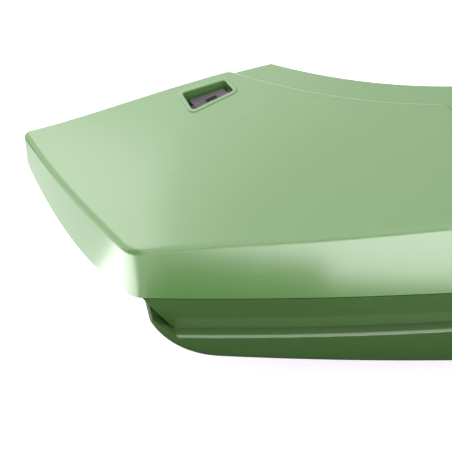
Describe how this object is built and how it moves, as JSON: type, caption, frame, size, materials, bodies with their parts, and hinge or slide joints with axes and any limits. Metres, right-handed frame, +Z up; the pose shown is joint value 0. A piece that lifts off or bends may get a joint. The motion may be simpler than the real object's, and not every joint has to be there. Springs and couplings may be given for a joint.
{
  "type": "motorcycle rear side cowl",
  "caption": "Painted right-hand tail side cowl with a recessed lower trim, a curved under cowl, a seat edge rail and a fold-out luggage hook in a well.",
  "frame": {"origin": "centre of the bore in the front mounting collar", "axes": "+X forward along the part, -X towards the tail tip, -Y outward on the machine's right-hand side, +Z up"},
  "size_m": [0.4266, 0.1534, 0.148],
  "materials": {
    "green_paint": "satin green paint over moulded plastic",
    "black_plastic": "fine-textured black moulding",
    "grey_plastic": "smooth dark purple-grey moulding",
    "zinc_steel": "bright zinc plate",
    "spring_steel": "dark phosphated spring steel",
    "black_steel": "black electro-coat",
    "black_rubber": "matt black rubber",
    "shield_aluminium": "bare sheet, lightly dimpled",
    "grey_foam": "closed-cell foam"
  },
  "bodies": {
    "cowl": {"side_cowl": "green_paint", "seat_edge_rail": "green_paint", "lower_trim": "green_paint", "under_cowl": "green_paint", "hook_housing": "black_plastic", "hook_pin": "zinc_steel", "hook_spring": "spring_steel", "hook_housing_screws": "zinc_steel", "rail_screws": "zinc_steel", "rail_washers": "zinc_steel", "trim_screws": "zinc_steel", "clip_nuts": "spring_steel", "push_clip_bodies": "black_plastic", "mount_grommets": "black_rubber", "mount_collars": "zinc_steel", "stay_bracket": "black_steel", "stay_bolts": "zinc_steel", "stay_nuts": "zinc_steel", "heat_shield": "shield_aluminium", "heat_shield_rivets": "shield_aluminium", "foam_pads": "grey_foam", "front_seal": "black_rubber"},
    "hook": {"luggage_hook": "grey_plastic"},
    "clip_pin_1": {"push_clip_pin_1": "black_plastic"},
    "clip_pin_2": {"push_clip_pin_2": "black_plastic"},
    "clip_pin_3": {"push_clip_pin_3": "black_plastic"}
  },
  "joints": [
    {"name": "hook_swing", "type": "hinge", "parent": "cowl", "child": "hook", "pos_m": [-0.30174, 0.12423, 0.04636], "axis": [0.9415, 0.2347, 0.2419], "range_deg": [0, 80], "stiffness_Nm_per_rad": 0.01, "springref_deg": -17.19},
    {"name": "clip_pin_1_pull", "type": "slide", "parent": "cowl", "child": "clip_pin_1", "axis": [0, 0, -1], "range_m": [0, 0.0045]},
    {"name": "clip_pin_2_pull", "type": "slide", "parent": "cowl", "child": "clip_pin_2", "axis": [0, 0, -1], "range_m": [0, 0.0045]},
    {"name": "clip_pin_3_pull", "type": "slide", "parent": "cowl", "child": "clip_pin_3", "axis": [0, 0, -1], "range_m": [0, 0.0045]}
  ]
}
